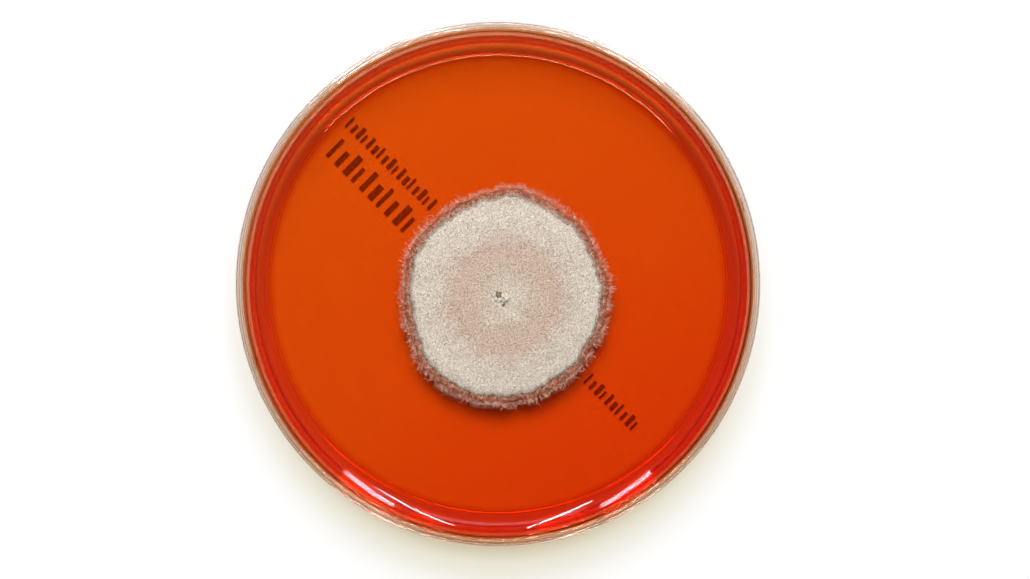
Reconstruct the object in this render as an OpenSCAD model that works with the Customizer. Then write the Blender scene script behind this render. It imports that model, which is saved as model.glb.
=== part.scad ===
// Petri dish with its lid on, a layer of agar and one round mould colony.
// Millimetres, +Z up. The origin is the centre of the dish, on the surface that it stands on.

/* [Dish] */
// Outer radius of the dish wall
dish_r = 45; // [44.7:0.05:45]
// Thickness of the dish wall
dish_wall = 0.8; // [0.7:0.1:1.2]
// Height of the dish rim above the table
dish_h = 14.2; // [13:0.1:14.4]
// Thickness of the dish floor
floor_t = 0.9; // [0.8:0.1:1.2]
// Outer radius of the foot ring under the floor
foot_r = 41.6; // [41:0.1:41.8]
// Width of the foot ring
foot_w = 0.6; // [0.5:0.1:1]
// Height of the foot ring
foot_h = 0.5; // [0.4:0.05:0.6]

/* [Lid] */
// Outer radius of the lid skirt
lid_r = 46; // [45.9:0.05:46.2]
// Thickness of the lid skirt
lid_wall = 0.75; // [0.6:0.05:0.8]
// Height of the lid from the edge of its skirt to its flat top
lid_h = 7.6; // [6.5:0.1:8.5]
// Thickness of the lid's flat top
lid_top_t = 0.9; // [0.8:0.1:1.2]
// Inner radius of the raised edge that the next dish in a stack sits in
stack_r = 44.8; // [44.5:0.1:45]
// Height of the raised edge
stack_h = 0.5; // [0.4:0.05:0.6]
// Number of vent pads that hold the lid off the rim
vents = 4; // [3:1:6]
// Height of each vent pad
vent_h = 0.4; // [0.2:0.05:0.5]

/* [Agar] */
// Depth of the agar away from the wall
agar_t = 4; // [3:0.1:5]
// Height that the agar climbs up the wall
meniscus_h = 2; // [1.5:0.1:2.5]
// Width of the climbing edge of the agar
meniscus_w = 4.5; // [3:0.1:5]

/* [Colony] */
// Place of the colony's centre along X
colony_x = 1.4; // [-3:0.1:3]
// Place of the colony's centre along Y
colony_y = -2.5; // [-3:0.1:3]
// Thickness of the thin growth that lies on the agar
margin_t = 0.4; // [0.3:0.05:0.6]
// Width of thin growth that shows around the felt
margin_w = 2.3; // [1.8:0.1:2.8]
// Thickness of the felt at its thickest
felt_t = 1.3; // [0.8:0.1:1.6]
// Place of the lump of inoculum along X, from the colony's centre
plug_x = -0.9; // [-1.5:0.1:1.5]
// Place of the lump of inoculum along Y, from the colony's centre
plug_y = 0.2; // [-1.5:0.1:1.5]
// Radius of the lump of inoculum
plug_r = 1.6; // [0.8:0.1:1.8]
// Height that the lump of inoculum stands out of the felt
plug_h = 0.5; // [0.3:0.1:0.7]

/* [Print] */
// Thickness of the printed ink
ink_t = 0.05; // [0.04:0.01:0.1]
// Length of the large row of printed bars
bold_row = 21; // [17:0.5:22]
// Height of the bars in the large row
bold_h = 4.2; // [3:0.1:4.5]
// Length of the small row of bars beside the large one
fine_row = 23; // [17:0.5:24]
// Length of the small row of bars on the far side of the dish
short_row = 14; // [8:0.5:15]
// Height of the bars in the small rows
fine_h = 2.3; // [1.5:0.1:2.5]

/* [Hidden] */
$fn = 96;

dish_in_r = dish_r - dish_wall;
floor_low = foot_h;
floor_high = floor_low + floor_t;
foot_in_r = foot_r - foot_w;
foot_slope_w = 1;
foot_step = 0.25;
foot_edge = 0.1;
corner_r = 0.4;
inner_corner_r = 0.6;
rim_round = 0.15;

lid_in_r = lid_r - lid_wall;
lid_under = dish_h + vent_h;
lid_flat = lid_under + lid_top_t;
lid_edge = lid_flat - lid_h;
lid_high = lid_flat + stack_h;
lid_corner_r = 0.5;
lid_inner_corner_r = 0.2;
lid_edge_round = 0.25;
stack_round = 0.1;
vent_out = 0.15;
vent_length = 2.4;
vent_first = 18;
vent_embed = lid_top_t / 2;

agar_flat = floor_high + agar_t;
agar_steps = 16;

colony_clear = 0.02;
margin_low = agar_flat;
margin_high = margin_low + margin_t;
felt_rings = 7;
outline_points = 72;
felt_crown = 0.35;
// Reach of the thin growth every 30 degrees round the colony, counter-clockwise from +X
lobes = [19.1, 18.9, 19.8, 20.7, 20.3, 19.9, 19.0, 19.4, 20.1, 20.1, 19.2, 18.8];
plug_seat = margin_high + felt_t;

print_turn = -45;
bold_at = [-31, 23.2];
fine_at = [-27.6, 28.4];
short_at = [15.2, -17.6];
bold_pitch = 2.1;
fine_pitch = 1.3;
// Width of the narrowest bar and how much wider its neighbours grow, as shares of the pitch
bar_share = 0.3;
bar_growth = 0.12;
// Share of the height that every other bar falls short by
bar_drop = 0.25;

// Points of an arc about [x, z], from one angle to another
function arc(x, z, r, from, to, steps = 8) =
    [for (i = [0:steps]) let (a = from + (to - from) * i / steps) [x + r * cos(a), z + r * sin(a)]];

// Reach of the colony in a direction, eased between the hand-set lobes
function lobe(a) =
    let (t = (a % 360) / 30, i = floor(t), f = t - i, s = f * f * (3 - 2 * f))
    lobes[i % 12] * (1 - s) + lobes[(i + 1) % 12] * s;

// Outline of the colony, drawn in from its reach by a margin and scaled about its centre
function outline(inset, k = 1) =
    [for (i = [0:outline_points - 1]) let (a = 360 * i / outline_points, r = k * (lobe(a) - inset))
        [r * cos(a), r * sin(a)]];

// Height of the felt above the thin growth at a share of the way out from its centre
function felt_height(share) = felt_t * (1 - felt_crown * share ^ 2) * sqrt(max(0, 1 - share ^ 6));

// Height of the climbing edge at a radius
function meniscus(r) =
    let (t = max(0, (r - (dish_in_r - meniscus_w)) / meniscus_w))
    agar_flat + meniscus_h * t ^ 2;

module dish_base() {
    color([0.93, 0.94, 0.94, 0.35])
    rotate_extrude()
    polygon(concat(
        [[0, floor_low]],
        [[foot_in_r - foot_slope_w, floor_low]],
        [[foot_in_r, foot_step]],
        [[foot_in_r + foot_edge, 0], [foot_r - foot_edge, 0]],
        [[foot_r, floor_low]],
        arc(dish_r - corner_r, floor_low + corner_r, corner_r, -90, 0),
        arc(dish_r - rim_round, dish_h - rim_round, rim_round, 0, 90, 3),
        arc(dish_in_r + rim_round, dish_h - rim_round, rim_round, 90, 180, 3),
        arc(dish_in_r - inner_corner_r, floor_high + inner_corner_r, inner_corner_r, 0, -90, 4),
        [[0, floor_high]]
    ));
}

module lid_shell() {
    rotate_extrude()
    polygon(concat(
        [[0, lid_under]],
        arc(lid_in_r - lid_inner_corner_r, lid_under - lid_inner_corner_r, lid_inner_corner_r, 90, 0, 4),
        arc(lid_in_r + lid_edge_round, lid_edge + lid_edge_round, lid_edge_round, 180, 270, 3),
        arc(lid_r - lid_edge_round, lid_edge + lid_edge_round, lid_edge_round, 270, 360, 3),
        arc(lid_r - lid_corner_r, lid_high - lid_corner_r, lid_corner_r, 0, 90, 6),
        arc(stack_r + stack_round, lid_high - stack_round, stack_round, 90, 180, 3),
        [[stack_r, lid_flat], [0, lid_flat]]
    ));
}

// A pad under the lid's top that sits on the rim, so that air gets in
module vent_pad() {
    translate([dish_in_r - vent_out, -vent_length / 2, dish_h])
    cube([dish_wall + 2 * vent_out, vent_length, vent_h + vent_embed]);
}

module lid() {
    color([0.95, 0.96, 0.96, 0.25])
    union() {
        lid_shell();
        for (i = [0:vents - 1])
            rotate([0, 0, vent_first + 360 * i / vents]) vent_pad();
    }
}

module agar() {
    color([0.85, 0.27, 0.05, 0.9])
    rotate_extrude()
    polygon(concat(
        [[0, floor_high]],
        arc(dish_in_r - inner_corner_r, floor_high + inner_corner_r, inner_corner_r, -90, 0, 4),
        [for (i = [0:agar_steps]) let (r = dish_in_r - meniscus_w * i / agar_steps) [r, meniscus(r)]],
        [[0, agar_flat]]
    ));
}

module substrate_mycelium() {
    color([0.66, 0.4, 0.33])
    translate([colony_x, colony_y, margin_low])
    linear_extrude(margin_t)
    polygon(outline(0));
}

// Felt as rings of points that climb from its edge to its crown, closed by a flat base
module aerial_mycelium() {
    n = outline_points;
    shares = [for (j = [0:felt_rings - 1]) cos(90 * j / felt_rings)];
    rings = [for (s = shares) [for (p = outline(margin_w, s)) [p[0], p[1], felt_height(s) + colony_clear]]];
    base = [for (p = outline(margin_w)) [p[0], p[1], 0]];
    crown = [[0, 0, felt_t + colony_clear]];
    points = concat(base, [for (ring = rings) each ring], crown);
    sides = [for (j = [0:felt_rings - 1]) for (i = [0:n - 1]) let (k = (i + 1) % n)
        each [[j * n + i, (j + 1) * n + i, (j + 1) * n + k], [j * n + i, (j + 1) * n + k, j * n + k]]];
    top = [for (i = [0:n - 1]) [felt_rings * n + i, (felt_rings + 1) * n, felt_rings * n + (i + 1) % n]];
    bottom = [[for (i = [0:n - 1]) i]];
    color([0.87, 0.83, 0.77])
    translate([colony_x, colony_y, margin_high])
    polyhedron(points = points, faces = concat(bottom, sides, top));
}

module inoculum_plug() {
    color([0.8, 0.76, 0.68])
    translate([colony_x + plug_x, colony_y + plug_y, plug_seat + colony_clear])
    rotate_extrude()
    polygon(concat([[0, 0]], arc(plug_r - plug_h / 2, plug_h / 2, plug_h / 2, -90, 90), [[0, plug_h]]));
}

// A row of bars whose widths and gaps follow a repeating rhythm
module bar_row(length, height, pitch) {
    count = floor(length / pitch);
    for (i = [0:count - 1])
        translate([i * pitch, 0, 0])
        cube([pitch * (bar_share + bar_growth * (i % 3)), height * (1 - bar_drop * (i % 2)), ink_t]);
}

module ink_marks() {
    color([0.3, 0.1, 0.04])
    translate([0, 0, floor_low - ink_t])
    {
        translate(bold_at) rotate([0, 0, print_turn]) bar_row(bold_row, bold_h, bold_pitch);
        translate(fine_at) rotate([0, 0, print_turn]) bar_row(fine_row, fine_h, fine_pitch);
        translate(short_at) rotate([0, 0, print_turn]) bar_row(short_row, fine_h, fine_pitch);
    }
}

dish_base();
lid();
agar();
substrate_mycelium();
aerial_mycelium();
inoculum_plug();
ink_marks();
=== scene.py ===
"""Petri dish with lid, orange agar and one felted mould colony, seen from straight above."""
import math
import random

import bpy
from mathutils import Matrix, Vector, noise


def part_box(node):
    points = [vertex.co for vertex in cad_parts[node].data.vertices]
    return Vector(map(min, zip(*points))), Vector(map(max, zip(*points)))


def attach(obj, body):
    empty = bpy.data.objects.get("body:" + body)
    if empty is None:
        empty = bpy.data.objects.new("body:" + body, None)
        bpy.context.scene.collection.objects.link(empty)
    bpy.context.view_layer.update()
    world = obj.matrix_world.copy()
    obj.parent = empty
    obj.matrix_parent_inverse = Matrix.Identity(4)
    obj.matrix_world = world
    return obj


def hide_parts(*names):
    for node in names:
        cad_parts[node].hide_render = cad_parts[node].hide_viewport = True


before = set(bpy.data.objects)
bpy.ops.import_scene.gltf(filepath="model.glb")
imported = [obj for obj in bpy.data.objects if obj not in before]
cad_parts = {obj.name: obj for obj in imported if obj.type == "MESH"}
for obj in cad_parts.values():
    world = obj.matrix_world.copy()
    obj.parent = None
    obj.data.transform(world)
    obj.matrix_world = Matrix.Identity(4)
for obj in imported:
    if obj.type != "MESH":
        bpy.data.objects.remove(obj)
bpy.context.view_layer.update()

MM = 0.001
TAU = 2 * math.pi
SEGMENTS = 720


# ---------------------------------------------------------------- sizes in millimetres, taken from the frame

def node_span(name):
    low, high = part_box(name)
    return [c / MM for c in low], [c / MM for c in high]


_, dish_high = node_span("dish_base")
lid_low, lid_high = node_span("lid")
agar_low, agar_high = node_span("agar")
margin_low, margin_high = node_span("substrate_mycelium")
felt_low, felt_high = node_span("aerial_mycelium")
plug_low, plug_high = node_span("inoculum_plug")
_, ink_high = node_span("ink_marks")

DISH_R = dish_high[0]
DISH_H = dish_high[2]
DISH_IN_R = agar_high[0]
FOOT_H = ink_high[2]
FLOOR_HIGH = agar_low[2]
FOOT_R, FOOT_W, FOOT_SLOPE_W, FOOT_STEP, FOOT_EDGE = 41.6, 0.6, 1.0, 0.25, 0.1
CORNER_R, INNER_CORNER_R, RIM_ROUND = 0.4, 0.6, 0.15
LID_R = lid_high[0]
LID_WALL, LID_TOP_T = 0.75, 0.9
LID_IN_R = LID_R - LID_WALL
LID_EDGE = lid_low[2]
STACK_R, STACK_H = 44.8, 0.5
LID_HIGH = lid_high[2]
LID_FLAT = LID_HIGH - STACK_H
LID_UNDER = LID_FLAT - LID_TOP_T
VENTS, VENT_FIRST, VENT_LENGTH, VENT_OUT = 4, math.radians(18), 2.4, 0.15
PAD_GAP, PAD_EMBED = 0.02, 0.03
AGAR_FLAT = margin_low[2]
MENISCUS_H = agar_high[2] - AGAR_FLAT
MENISCUS_W = 4.5
AGAR_WET = 0.03
COLONY = (1.4, -2.5)
PLUG = [(a + b) / 2 for a, b in zip(plug_low, plug_high)]
MARGIN_TOP = margin_high[2]
MARGIN_T = margin_high[2] - margin_low[2]
FELT_T = felt_high[2] - felt_low[2]
FELT_SINK = 0.05
LOBES = [19.1, 18.9, 19.8, 20.7, 20.3, 19.9, 19.0, 19.4, 20.1, 20.1, 19.2, 18.8]


# ---------------------------------------------------------------- mesh helpers

def new_object(name, points, faces, smooth=True):
    mesh = bpy.data.meshes.new(name)
    mesh.from_pydata([[c * MM for c in p] for p in points], [], faces)
    mesh.validate()
    mesh.polygons.foreach_set("use_smooth", [smooth] * len(mesh.polygons))
    mesh.update()
    piece = bpy.data.objects.new(name, mesh)
    bpy.context.scene.collection.objects.link(piece)
    return piece


def arc(x, z, r, start, end, steps=6):
    angles = [math.radians(start + (end - start) * i / steps) for i in range(steps + 1)]
    return [(x + r * math.cos(a), z + r * math.sin(a)) for a in angles]


def hold_edges(profile, reach=0.06, long_run=0.4):
    """Extra points near the ends of long runs, so that rounded corners don't bend the shading of flats."""
    held = [profile[0]]
    for (r0, z0), (r1, z1) in zip(profile, profile[1:]):
        length = math.hypot(r1 - r0, z1 - z0)
        if length > long_run:
            dr, dz = (r1 - r0) * reach / length, (z1 - z0) * reach / length
            held += [(r0 + dr, z0 + dz)] if r0 > 0 else []
            held += [(r1 - dr, z1 - dz)] if r1 > 0 else []
        held.append((r1, z1))
    return held


def lathe(name, profile):
    """A closed solid of revolution from an outline whose first and last points lie on the axis."""
    profile = hold_edges(profile)
    rings = profile[1:-1]
    segments = SEGMENTS
    turns = [TAU * i / segments for i in range(segments)]
    points = [(0, 0, profile[0][1])]
    for r, z in rings:
        points += [(r * math.cos(a), r * math.sin(a), z) for a in turns]
    points.append((0, 0, profile[-1][1]))
    faces = []
    for i in range(segments):
        k = (i + 1) % segments
        faces.append((0, 1 + k, 1 + i))
        for j in range(len(rings) - 1):
            low, up = 1 + j * segments, 1 + (j + 1) * segments
            faces.append((low + i, low + k, up + k, up + i))
        top = 1 + (len(rings) - 1) * segments
        faces.append((top + i, top + k, len(points) - 1))
    return new_object(name, points, faces)


def finish_piece(piece, mat, body, cad_node=None, crease=None):
    """Gives a piece its material, slot and body, and hides the CAD node it stands in for."""
    if crease is not None:
        piece.data.set_sharp_from_angle(angle=math.radians(crease))
    piece.data.materials.append(mat)
    if cad_node is not None:
        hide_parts(cad_node)
    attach(piece, body)


# ---------------------------------------------------------------- material helpers

def material(name):
    mat = bpy.data.materials.new(name)
    mat.use_nodes = True
    tree = mat.node_tree
    return mat, tree, tree.nodes["Principled BSDF"]


def node(tree, kind, **inputs):
    made = tree.nodes.new(kind)
    for key, value in inputs.items():
        made.inputs[key.replace("_", " ")].default_value = value
    return made


def maths(tree, operation, a, b):
    made = tree.nodes.new("ShaderNodeMath")
    made.operation = operation
    for socket, value in zip(made.inputs, (a, b)):
        if isinstance(value, (int, float)):
            socket.default_value = value
        else:
            tree.links.new(value, socket)
    return made.outputs[0]


def object_noise(tree, scale, detail=3.0, roughness=0.5):
    """Noise in object space, scale in repeats per metre."""
    where = tree.nodes.new("ShaderNodeTexCoord")
    made = node(tree, "ShaderNodeTexNoise", Scale=scale, Detail=detail, Roughness=roughness)
    tree.links.new(where.outputs["Object"], made.inputs["Vector"])
    return made.outputs["Fac"]


def ramp(tree, source, stops):
    made = tree.nodes.new("ShaderNodeValToRGB")
    elements = made.color_ramp.elements
    while len(elements) < len(stops):
        elements.new(0.5)
    for element, (at, colour) in zip(elements, stops):
        element.position = at
        element.color = (*colour, 1)
    tree.links.new(source, made.inputs["Fac"])
    return made.outputs["Color"]


def blend_colours(tree, kind, factor, a, b):
    made = tree.nodes.new("ShaderNodeMix")
    made.data_type = "RGBA"
    made.blend_type = kind
    colour_sockets = [s for s in made.inputs if s.type == "RGBA"]
    if isinstance(factor, (int, float)):
        made.inputs[0].default_value = factor
    else:
        tree.links.new(factor, made.inputs[0])
    for socket, value in zip(colour_sockets, (a, b)):
        if isinstance(value, tuple):
            socket.default_value = (*value, 1)
        else:
            tree.links.new(value, socket)
    return [s for s in made.outputs if s.type == "RGBA"][0]


def bump(tree, shader, source, distance, strength=1.0):
    made = node(tree, "ShaderNodeBump", Strength=strength, Distance=distance)
    tree.links.new(source, made.inputs["Height"])
    tree.links.new(made.outputs["Normal"], shader.inputs["Normal"])


def object_axes(tree):
    """Place in object space, as three sockets in metres."""
    where = tree.nodes.new("ShaderNodeTexCoord")
    parts = tree.nodes.new("ShaderNodeSeparateXYZ")
    tree.links.new(where.outputs["Object"], parts.inputs[0])
    return parts.outputs["X"], parts.outputs["Y"], parts.outputs["Z"]


def axis_distance(tree, centre=(0, 0)):
    """Distance from an upright axis through centre and height above the table, in millimetres."""
    x, y, z = object_axes(tree)
    dx = maths(tree, "SUBTRACT", x, centre[0] * MM)
    dy = maths(tree, "SUBTRACT", y, centre[1] * MM)
    square = maths(tree, "ADD", maths(tree, "MULTIPLY", dx, dx), maths(tree, "MULTIPLY", dy, dy))
    away = maths(tree, "DIVIDE", maths(tree, "SQRT", square, 0), MM)
    return away, maths(tree, "DIVIDE", z, MM)


def ramp_between(tree, value, start, end, stops):
    """A colour ramp over the values from start to end, with its stops in the value's own unit."""
    share = maths(tree, "DIVIDE", maths(tree, "SUBTRACT", value, start), end - start)
    return ramp(tree, share, [((at - start) / (end - start), colour) for at, colour in stops])


def let_light_through(tree, shader, tint, upright_tint=None):
    """Lamps and bounced light pass straight through the material, and upright walls hold some of it back."""
    path = tree.nodes.new("ShaderNodeLightPath")
    either = maths(tree, "MAXIMUM", path.outputs["Is Shadow Ray"], path.outputs["Is Diffuse Ray"])
    clear = node(tree, "ShaderNodeBsdfTransparent", Color=(*tint, 1))
    if upright_tint is not None:
        parts = tree.nodes.new("ShaderNodeSeparateXYZ")
        tree.links.new(tree.nodes.new("ShaderNodeNewGeometry").outputs["Normal"], parts.inputs[0])
        level = maths(tree, "ABSOLUTE", parts.outputs["Z"], 0)
        tree.links.new(ramp(tree, level, [(0.3, upright_tint), (0.95, tint)]), clear.inputs["Color"])
    mix = tree.nodes.new("ShaderNodeMixShader")
    tree.links.new(either, mix.inputs[0])
    tree.links.new(shader.outputs[0], mix.inputs[1])
    tree.links.new(clear.outputs[0], mix.inputs[2])
    tree.links.new(mix.outputs[0], tree.nodes["Material Output"].inputs["Surface"])


def clear_plastic(name, tint, rings, painted_heights):
    """Clear moulded plastic; rings holds painted light and shade by radius, and levels holds how far they
    apply by height.
    """
    mat, tree, shader = material(name)
    away, height = axis_distance(tree)
    # Painted light and shade: the ring colours are painted by radius and mixed in by height.
    amount = ramp_between(tree, height, 0, LID_HIGH, [(z, (k, k, k)) for z, k in painted_heights])
    painted_ring_light_and_shade = ramp_between(tree, away, 43, 46, rings)
    tree.links.new(blend_colours(tree, "MIX", amount, tint, painted_ring_light_and_shade), shader.inputs["Base Color"])
    shader.inputs["Transmission Weight"].default_value = 1.0
    shader.inputs["IOR"].default_value = 1.58
    scuffs = object_noise(tree, 900, detail=4, roughness=0.7)
    gloss = node(tree, "ShaderNodeMapRange", From_Min=0.35, From_Max=0.75, To_Min=0.003, To_Max=0.006)
    tree.links.new(scuffs, gloss.inputs["Value"])
    tree.links.new(gloss.outputs["Result"], shader.inputs["Roughness"])
    bump(tree, shader, object_noise(tree, 60, detail=1), 0.000001)
    let_light_through(tree, shader, (0.99, 0.99, 0.985), upright_tint=(0.90, 0.88, 0.79))
    return mat


def agar_material():
    """Clear gel that deepens in colour with its thickness, with painted shade and a painted glow near the
    wall, and painted shade towards the front.
    """
    mat, tree, shader = material("agar_gel")
    shader.inputs["Transmission Weight"].default_value = 1.0
    shader.inputs["IOR"].default_value = 1.34
    shader.inputs["Roughness"].default_value = 0.0
    cloud_and_painted_shade = ramp(tree, object_noise(tree, 45, detail=2), [(0.3, (1.0, 0.95, 0.85)), (0.7, (1.0, 1.0, 1.0))])
    away, _ = axis_distance(tree)
    # Painted shade and light: a darker band under the meniscus and a painted brighter glow next to the wall,
    # set by distance from the axis.
    painted_rim_shade_and_glow = ramp_between(tree, away, 39, 45, [
        (39.60, (1.0, 1.0, 1.0)), (41.04, (0.86, 0.50, 0.33)), (42.60, (0.82, 0.40, 0.20)),
        (43.68, (1.0, 0.95, 0.6)),
    ])
    # Painted shade: the gel is darker and redder towards the front and right, as if less light reached it
    # there.
    x, y, _ = object_axes(tree)
    slant = maths(tree, "SUBTRACT", y, maths(tree, "MULTIPLY", x, 0.6))
    drift = ramp_between(tree, maths(tree, "DIVIDE", slant, MM), -50, 50, [
        (-45, (0.97, 0.50, 0.55)), (-5, (0.98, 0.82, 0.80)), (45, (1.0, 1.0, 1.0)),
    ])
    cloud_and_painted_shade = blend_colours(tree, "MULTIPLY", 1.0, cloud_and_painted_shade, drift)
    tree.links.new(blend_colours(tree, "MULTIPLY", 1.0, cloud_and_painted_shade, painted_rim_shade_and_glow), shader.inputs["Base Color"])
    bump(tree, shader, object_noise(tree, 60, detail=1), 0.000002)
    let_light_through(tree, shader, (1.0, 1.0, 1.0), upright_tint=(0.58, 0.60, 0.44))
    absorb = node(tree, "ShaderNodeVolumeAbsorption", Color=(0.986, 0.62, 0.0, 1), Density=700.0)
    tree.links.new(absorb.outputs[0], tree.nodes["Material Output"].inputs["Volume"])
    return mat


def felt_material():
    """Cream felt with a pinker zone half way out, whose edges wander by a few millimetres."""
    mat, tree, shader = material("felt_cream")
    away, _ = axis_distance(tree, COLONY)
    drift = maths(tree, "MULTIPLY", maths(tree, "SUBTRACT", object_noise(tree, 300, 4, 0.65), 0.5), 8.0)
    zones = ramp_between(tree, maths(tree, "ADD", away, drift), 0, 20, [
        (0.0, (0.92, 0.84, 0.71)), (2.4, (0.91, 0.82, 0.70)), (5.4, (0.84, 0.68, 0.56)),
        (9.0, (0.82, 0.64, 0.53)), (12.0, (0.90, 0.80, 0.70)), (16.0, (0.95, 0.87, 0.77)),
        (18.4, (0.88, 0.76, 0.66)), (20.0, (0.60, 0.40, 0.33)),
    ])
    specks = object_noise(tree, 4300, 2, 0.8)
    grain = ramp(tree, specks, [(0.40, (0.50, 0.42, 0.38)), (0.56, (1.0, 1.0, 1.0))])
    colour = blend_colours(tree, "MULTIPLY", 0.85, zones, grain)
    tree.links.new(colour, shader.inputs["Base Color"])
    shader.inputs["Roughness"].default_value = 1.0
    shader.inputs["Specular IOR Level"].default_value = 0.1
    shader.inputs["Sheen Weight"].default_value = 0.15
    bump(tree, shader, object_noise(tree, 4300, 2, 0.7), 0.00015)
    return mat


def margin_material(name, dark, middle, light):
    """Streaked hyphae, from the colour of their shaded parts to that of their lit tips."""
    mat, tree, shader = material(name)
    streaks = ramp(tree, object_noise(tree, 2000, 3, 0.8), [(0.38, dark), (0.50, middle), (0.62, light)])
    tree.links.new(streaks, shader.inputs["Base Color"])
    shader.inputs["Roughness"].default_value = 0.85
    shader.inputs["Specular IOR Level"].default_value = 0.2
    bump(tree, shader, object_noise(tree, 3500, 2, 0.6), 0.00015)
    return mat


def plain_noise_material(name, dark, light, scale, roughness, depth):
    """A matt material, mottled between two colours, with a bump of the given depth in metres."""
    mat, tree, shader = material(name)
    colour = ramp(tree, object_noise(tree, scale, 4, 0.65), [(0.35, dark), (0.65, light)])
    tree.links.new(colour, shader.inputs["Base Color"])
    shader.inputs["Roughness"].default_value = roughness
    bump(tree, shader, object_noise(tree, scale * 1.5, 3, 0.6), depth)
    return mat


# ---------------------------------------------------------------- dish, lid and agar

def dish_profile():
    corner, inner, rim = CORNER_R, INNER_CORNER_R, RIM_ROUND
    foot_in = FOOT_R - FOOT_W
    return (
        [(0, FOOT_H), (foot_in - FOOT_SLOPE_W, FOOT_H), (foot_in, FOOT_STEP), (foot_in + FOOT_EDGE, 0),
         (FOOT_R - FOOT_EDGE, 0), (FOOT_R, FOOT_H)]
        + arc(DISH_R - corner, FOOT_H + corner, corner, -90, 0, 12)
        + arc(DISH_R - rim, DISH_H - rim, rim, 0, 90, 10)
        + arc(DISH_IN_R + rim, DISH_H - rim, rim, 90, 180, 10)
        + arc(DISH_IN_R - inner, FLOOR_HIGH + inner, inner, 0, -90, 10)
        + [(0, FLOOR_HIGH)]
    )


def lid_profile():
    corner, inner, edge, bead = 0.5, 0.2, 0.25, 0.1
    return (
        [(0, LID_UNDER)]
        + arc(LID_IN_R - inner, LID_UNDER - inner, inner, 90, 0, 5)
        + arc(LID_IN_R + edge, LID_EDGE + edge, edge, 180, 270, 4)
        + arc(LID_R - edge, LID_EDGE + edge, edge, 270, 360, 4)
        + arc(LID_R - corner, LID_HIGH - corner, corner, 0, 90, 10)
        + arc(STACK_R + bead, LID_HIGH - bead, bead, 90, 180, 4)
        + [(STACK_R, LID_FLAT), (0, LID_FLAT)]
    )


def meniscus(r):
    t = max(0.0, (r - (DISH_IN_R - MENISCUS_W)) / MENISCUS_W)
    return AGAR_FLAT + MENISCUS_H * t ** 2


def agar_profile():
    """The gel wets the dish: it reaches a hair into the plastic, so that no film of air shows between."""
    steps = 32
    wall, low = DISH_IN_R + AGAR_WET, FLOOR_HIGH - AGAR_WET
    inward = [MENISCUS_W * i / steps for i in range(steps + 1)]
    climb = [(wall - d, meniscus(DISH_IN_R - d)) for d in inward]
    corner = arc(wall - INNER_CORNER_R, low + INNER_CORNER_R, INNER_CORNER_R, -90, 0, 6)
    return [(0, low)] + corner + climb + [(0, AGAR_FLAT)]


dish = lathe("dish_shell", dish_profile())
CLEAR = (0.985, 0.985, 0.975)
# Painted glow: the lower wall and the rim top are painted orange-red for light from the gel, darkening to a
# painted dark red at the outer edge.
dish_mat = clear_plastic("dish_polystyrene", CLEAR, [
    (43.5, CLEAR), (44.2, (0.92, 0.16, 0.03)), (44.5, (0.85, 0.14, 0.03)), (44.75, (0.45, 0.09, 0.02)),
], [(6.2, 1), (7.2, 0), (13.6, 0), (14.0, 0.65)])
finish_piece(dish, dish_mat, "dish", cad_node="dish_base", crease=12)

lid = lathe("lid_shell", lid_profile())


def vent_pads():
    """Low pads under the lid's top, which sit on the dish's rim and let air in."""
    points, faces = [], []
    inner, outer, half = DISH_IN_R - VENT_OUT, DISH_R + VENT_OUT, VENT_LENGTH / 2
    for i in range(VENTS):
        turn = VENT_FIRST + TAU * i / VENTS
        base = len(points)
        cos, sin = math.cos(turn), math.sin(turn)
        for z in (DISH_H + PAD_GAP, LID_UNDER + PAD_EMBED):
            for x, y in ((inner, -half), (outer, -half), (outer, half), (inner, half)):
                points.append((x * cos - y * sin, x * sin + y * cos, z))
        faces += [tuple(base + c for c in face) for face in
                  ((3, 2, 1, 0), (4, 5, 6, 7), (0, 1, 5, 4), (1, 2, 6, 5), (2, 3, 7, 6), (3, 0, 4, 7))]
    return new_object("lid_vent_pads", points, faces, smooth=False)


# Painted light and shade: a yellow glow over the dish's inner wall, a cream band, and a dark brown ring at
# the skirt, painted by radius.
lid_mat = clear_plastic("lid_polystyrene", CLEAR, [
    (43.0, CLEAR), (43.3, (0.99, 0.95, 0.82)), (43.7, (0.99, 0.92, 0.64)), (44.6, (0.99, 0.92, 0.64)),
    (45.1, (0.97, 0.86, 0.78)), (45.2, (0.52, 0.30, 0.17)), (45.42, (0.52, 0.30, 0.17)),
    (45.55, (0.97, 0.90, 0.85)),
], [(0, 1), (LID_HIGH, 1)])
finish_piece(lid, lid_mat, "lid", cad_node="lid", crease=35)

finish_piece(vent_pads(), lid_mat, "lid")

agar = lathe("agar_gel", agar_profile())
finish_piece(agar, agar_material(), "dish", cad_node="agar", crease=35)


# ---------------------------------------------------------------- colony

def lobe(angle):
    t = (angle % TAU) / TAU * len(LOBES)
    i = int(t)
    f = t - i
    s = f * f * (3 - 2 * f)
    return LOBES[i % len(LOBES)] * (1 - s) + LOBES[(i + 1) % len(LOBES)] * s


def rough(x, y, size, seed):
    return noise.noise(Vector((x / size, y / size, seed)))


def ragged(angle, amount, seed):
    """Small in-and-out of an edge round the colony."""
    x, y = math.cos(angle), math.sin(angle)
    coarse, medium, fine = rough(x, y, 0.16, seed), rough(x, y, 0.05, seed + 7), rough(x, y, 0.02, seed + 3)
    return amount * (0.7 * coarse + 0.5 * medium + 0.3 * fine)


def wander(angle):
    """Broad lobes and notches that the felt and the thin growth share."""
    x, y = math.cos(angle), math.sin(angle)
    return 1.0 * rough(x, y, 0.42, 5.5) + 0.5 * rough(x, y, 0.17, 1.7) - 0.1


def felt_reach(angle):
    return lobe(angle) - 2.15 + wander(angle) + ragged(angle, 0.5, 2.5)


def margin_reach(angle):
    return lobe(angle) - 0.95 + wander(angle) + ragged(angle, 0.4, 9.1)


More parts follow.
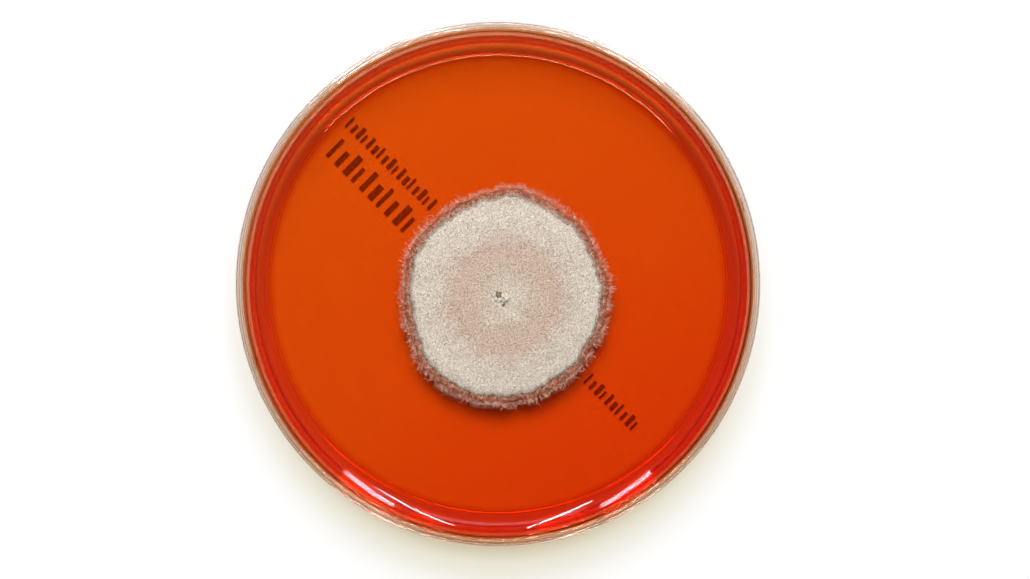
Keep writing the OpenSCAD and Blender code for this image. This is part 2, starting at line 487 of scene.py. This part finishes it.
def disc_mesh(name, rings, around, place, underside):
    """A closed cap: place(share, angle) gives the top's points, and the underside is flat."""
    points = [place(0, 0)]
    for j in range(1, rings + 1):
        points += [place(j / rings, TAU * i / around) for i in range(around)]
    low = len(points)
    points += [(x, y, underside) for x, y, _ in points[low - around:low]]
    faces = []
    for i in range(around):
        k = (i + 1) % around
        faces.append((0, 1 + i, 1 + k))
        for j in range(rings):
            a, b = 1 + j * around, 1 + (j + 1) * around
            faces.append((a + i, b + i, b + k, a + k))
    faces.append(tuple(reversed(range(low, low + around))))
    return new_object(name, points, faces)


def felt_point(share, angle):
    spread = math.sin(0.5 * math.pi * share)
    reach = felt_reach(angle) * spread
    x, y = COLONY[0] + reach * math.cos(angle), COLONY[1] + reach * math.sin(angle)
    dome = FELT_T * (1 - 0.35 * spread ** 2) * math.sqrt(max(0.0, 1 - spread ** 9))
    pit = 0.45 * math.exp(-(math.hypot(x - PLUG[0], y - PLUG[1]) / 1.9) ** 2)
    zoned = 0.03 * math.cos(reach * 1.1)
    nap = 0.07 * rough(x, y, 0.30, 1.0) + 0.05 * rough(x, y, 0.7, 4.0) + 0.07 * rough(x, y, 2.4, 8.0)
    return x, y, MARGIN_TOP - FELT_SINK + max(0.0, dome - pit + (zoned + nap) * (1 - spread ** 20))


def margin_point(share, angle):
    reach = margin_reach(angle) * share ** 0.5
    x, y = COLONY[0] + reach * math.cos(angle), COLONY[1] + reach * math.sin(angle)
    edge = math.sqrt(max(0.0, 1 - share ** 10))
    ridge = 0.10 * math.exp(-((lobe(angle) - 1.6 - reach) / 0.35) ** 2)
    nap = 0.12 * rough(x, y, 0.22, 3.0)
    return x, y, AGAR_FLAT + max(0.03, (MARGIN_T * 0.75 + ridge + nap) * edge)


def hairs(name, strands, thickness, taper=0.6):
    """Fine tapering threads, each a three-sided tube through its points."""
    points, faces = [], []
    for strand in strands:
        start = len(points)
        for step, p in enumerate(strand[:-1]):
            ahead = (Vector(strand[step + 1]) - Vector(p)).normalized()
            side = ahead.cross(Vector((0.03, 0.02, 1))).normalized()
            up = side.cross(ahead)
            r = thickness * (1 - taper * step / len(strand))
            for turn in range(3):
                a = TAU * turn / 3
                points.append(tuple(Vector(p) + side * (r * math.cos(a)) + up * (r * math.sin(a))))
        points.append(tuple(strand[-1]))
        tip = len(points) - 1
        for step in range(len(strand) - 2):
            a, b = start + 3 * step, start + 3 * step + 3
            for turn in range(3):
                k = (turn + 1) % 3
                faces.append((a + turn, a + k, b + k, b + turn))
        last = tip - 3
        faces += [(last + turn, last + (turn + 1) % 3, tip) for turn in range(3)]
        faces.append((start + 2, start + 1, start))
    return new_object(name, points, faces)


def nap_strands(count):
    """Short hyphae that stand and lie on the felt, pointing every way, and outward at its edge."""
    strands = []
    for number in range(count):
        at_edge = number % 5 == 0
        angle = random.uniform(0, TAU)
        share = math.sqrt(random.uniform(0.001, 1))
        edge = felt_reach(angle)
        reach = edge - random.uniform(0.05, 0.5) if at_edge else share * (edge - 0.15)
        x, y = COLONY[0] + reach * math.cos(angle), COLONY[1] + reach * math.sin(angle)
        z = felt_point(2 / math.pi * math.asin(min(1, reach / edge)), angle)[2]
        heading = random.gauss(angle, 0.5) if at_edge else random.uniform(0, TAU)
        length = random.uniform(0.25, 0.75) if at_edge else random.uniform(0.12, 0.38)
        rise = random.uniform(0.06, 0.24)
        strand = []
        for step in range(3):
            t = step / 2
            turn = heading + 0.6 * t
            strand.append((x + length * t * math.cos(turn), y + length * t * math.sin(turn),
                           z - 0.02 + rise * math.sin(math.pi * (0.15 + 0.55 * t))))
        strands.append(strand)
    return strands


def fringe_strands(count):
    """Hyphae that creep out of the margin over the agar, in two bands with a bare line between them."""
    strands = []
    for _ in range(count):
        angle = random.uniform(0, TAU)
        inner_band = random.random() < 0.5
        edge = lobe(angle) + wander(angle)
        inner = edge - (random.uniform(1.7, 2.2) if inner_band else random.triangular(0.2, 1.15, 1.05))
        length = random.uniform(0.25, 0.5) if inner_band else min(1.5, random.expovariate(2.2) + 0.2)
        swerve = random.gauss(0, 0.45)
        z = MARGIN_TOP - FELT_SINK - 0.05 * random.random()
        strand = []
        for step in range(4):
            t = step / 3
            reach = inner + length * t
            turn = angle + swerve * length * t / inner
            fall = max(0.0, (reach - edge + 0.6) / 1.0)
            strand.append((COLONY[0] + reach * math.cos(turn), COLONY[1] + reach * math.sin(turn),
                           max(AGAR_FLAT + 0.02, z - 0.3 * fall)))
        strands.append(strand)
    return strands


random.seed(11)
felt_mat = felt_material()
felt = disc_mesh("felt_mat", 130, 560, felt_point, MARGIN_TOP - 0.12)
finish_piece(felt, felt_mat, "dish", cad_node="aerial_mycelium")

finish_piece(hairs("felt_nap", nap_strands(17000), 0.024), felt_mat, "dish")

margin = disc_mesh("margin_growth", 60, 560, margin_point, AGAR_FLAT - AGAR_WET)
margin_mat = margin_material("margin_brown", (0.17, 0.045, 0.025), (0.36, 0.11, 0.06), (0.62, 0.29, 0.19))
finish_piece(margin, margin_mat, "dish", cad_node="substrate_mycelium")

fringe = hairs("margin_hyphae", fringe_strands(4600), 0.045)
fringe_mat = margin_material("fringe_pink", (0.50, 0.18, 0.10), (0.80, 0.44, 0.30), (0.96, 0.74, 0.60))
finish_piece(fringe, fringe_mat, "dish")


def crumbs(name, lumps, seat):
    """Crumbly lumps, each given by its place beside the plug's centre, its radius and its height."""
    points, faces = [], []
    for dx, dy, r, tall in lumps:
        base, around, rings = len(points), 40, 16
        for j in range(rings + 1):
            tilt = 0.5 * math.pi * j / rings
            for i in range(around):
                a = TAU * i / around
                lump = 1 + 0.6 * rough(dx + r * math.cos(a), dy + r * math.sin(a), 0.5, tilt)
                lump += 0.3 * rough(dx + r * math.cos(a), dy + r * math.sin(a), 0.2, tilt + 4)
                reach = r * math.cos(tilt) * lump
                points.append((PLUG[0] + dx + reach * math.cos(a), PLUG[1] + dy + reach * math.sin(a),
                               seat + tall * math.sin(tilt) * (0.8 + 0.2 * lump)))
        for j in range(rings):
            for i in range(around):
                k = (i + 1) % around
                a, b = base + j * around, base + (j + 1) * around
                faces.append((a + i, a + k, b + k, b + i))
        faces.append(tuple(reversed(range(base, base + around))))
        faces.append(tuple(range(base + rings * around, base + (rings + 1) * around)))
    return new_object(name, points, faces)


PLUG_SEAT = plug_low[2] - 0.45
WHITE_LUMPS = [
    (1.0, -0.25, 0.72, 0.95), (0.45, 0.05, 0.5, 0.8), (-1.25, 0.45, 0.5, 0.75), (-0.95, -0.35, 0.4, 0.7),
    (-0.1, -0.45, 0.45, 0.7),
]
DARK_LUMPS = [(-0.6, 0.35, 0.66, 0.6), (0.4, -1.35, 0.24, 0.75)]
plug = crumbs("plug_lump", WHITE_LUMPS, PLUG_SEAT)
crumb_mat = plain_noise_material("plug_crumb", (0.72, 0.66, 0.55), (0.96, 0.93, 0.86), 2600, 1.0, 0.0002)
finish_piece(plug, crumb_mat, "dish", cad_node="inoculum_plug")

pit = crumbs("plug_pit", DARK_LUMPS, PLUG_SEAT)
stain_mat = plain_noise_material("plug_stain", (0.05, 0.035, 0.02), (0.40, 0.28, 0.19), 1300, 0.9, 0.0001)
finish_piece(pit, stain_mat, "dish")

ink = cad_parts["ink_marks"]
ink.data.materials.clear()
ink_mat = plain_noise_material("printed_ink", (0.16, 0.11, 0.09), (0.30, 0.22, 0.18), 1800, 0.7, 0.00002)
ink.data.materials.append(ink_mat)


# ---------------------------------------------------------------- stage, lights and camera

def stage_floor():
    half = 1500
    floor = new_object("floor", [(-half, -half, 0), (half, -half, 0), (half, half, 0), (-half, half, 0)],
                       [(0, 1, 2, 3)], smooth=False)
    mat, tree, shader = material("floor_white")
    shader.inputs["Base Color"].default_value = (0.92, 0.92, 0.92, 1)
    shader.inputs["Roughness"].default_value = 0.9
    shader.inputs["Specular IOR Level"].default_value = 0.0
    floor.data.materials.append(mat)


def area_light(name, at, size, power, aim=(0, 0, 0), lights_matte=True, lights_gloss=True, colour=(1, 1, 1)):
    light = bpy.data.lights.new(name, "AREA")
    light.shape = "RECTANGLE"
    light.size, light.size_y = size
    light.energy = power
    light.color = colour
    lamp = bpy.data.objects.new(name, light)
    lamp.location = at
    lamp.rotation_euler = (Vector(aim) - Vector(at)).to_track_quat("-Z", "Y").to_euler()
    lamp.visible_diffuse = lights_matte
    lamp.visible_glossy = lights_gloss
    lamp.visible_transmission = lights_gloss
    bpy.context.scene.collection.objects.link(lamp)
    return lamp


def highlight(name, at, size, power, facing, colour=(1, 1, 1)):
    """A lamp that only shows as a reflection in the plastic and the gel."""
    aim = Vector(at) + Vector(facing)
    area_light(name, at, size, power, aim=aim, lights_matte=False, colour=colour)


def world_light(strength):
    """A soft room: bright walls all round, and a dark ceiling over the camera."""
    world = bpy.data.worlds.new("studio")
    world.use_nodes = True
    tree = world.node_tree
    where = tree.nodes.new("ShaderNodeTexCoord")
    parts = tree.nodes.new("ShaderNodeSeparateXYZ")
    tree.links.new(where.outputs["Generated"], parts.inputs[0])
    glow = ramp(tree, parts.outputs["Z"], [
        (0.0, (0.6, 0.6, 0.6)), (0.25, (0.9, 0.9, 0.9)), (0.80, (0.9, 0.9, 0.9)), (0.93, (0.02, 0.02, 0.02)),
    ])
    background = tree.nodes["Background"]
    tree.links.new(glow, background.inputs["Color"])
    background.inputs["Strength"].default_value = strength
    bpy.context.scene.world = world


def camera():
    data = bpy.data.cameras.new("camera")
    data.sensor_width = 36
    view_width, distance, over = 180.5, 584, (2.98, -0.96)
    data.lens = data.sensor_width * distance / view_width
    data.clip_start, data.clip_end = 0.01, 10
    eye = bpy.data.objects.new("camera", data)
    eye.location = (over[0] * MM, over[1] * MM, (distance + LID_HIGH) * MM)
    bpy.context.scene.collection.objects.link(eye)
    bpy.context.scene.camera = eye


stage_floor()
world_light(0.33)
area_light("overhead", (0, 0.9, 2.0), (1.1, 1.1), 52, lights_gloss=False)
DOWN = (0, 0, -1)
highlight("tube_right", (0.47, 1.65, 0.9), (0.055, 1.7), 27, DOWN)
highlight("tube_left", (-0.33, 1.75, 0.9), (0.055, 1.9), 30, DOWN)
highlight("tube_behind", (0, -0.36, 1.05), (0.80, 0.07), 4.5, DOWN, colour=(1.0, 0.66, 0.34))
highlight("pane_right", (0.9, 1.52, 0.81), (0.82, 0.40), 48, (-1, 0, 0), colour=(0.95, 0.9, 1.0))
highlight("pane_left", (-0.9, 1.52, 0.81), (0.82, 0.40), 48, (1, 0, 0), colour=(0.95, 0.9, 1.0))
highlight("window", (0, 1.6, 1.05), (1.2, 0.3), 4, (0, -1.6, -1.05))
camera()
bpy.context.scene.view_settings.view_transform = "Standard"
bounces = bpy.context.scene.cycles
bounces.sample_clamp_indirect = 0
bounces.max_bounces = 24
bounces.transmission_bounces = 24
bounces.glossy_bounces = 16
bounces.transparent_max_bounces = 32
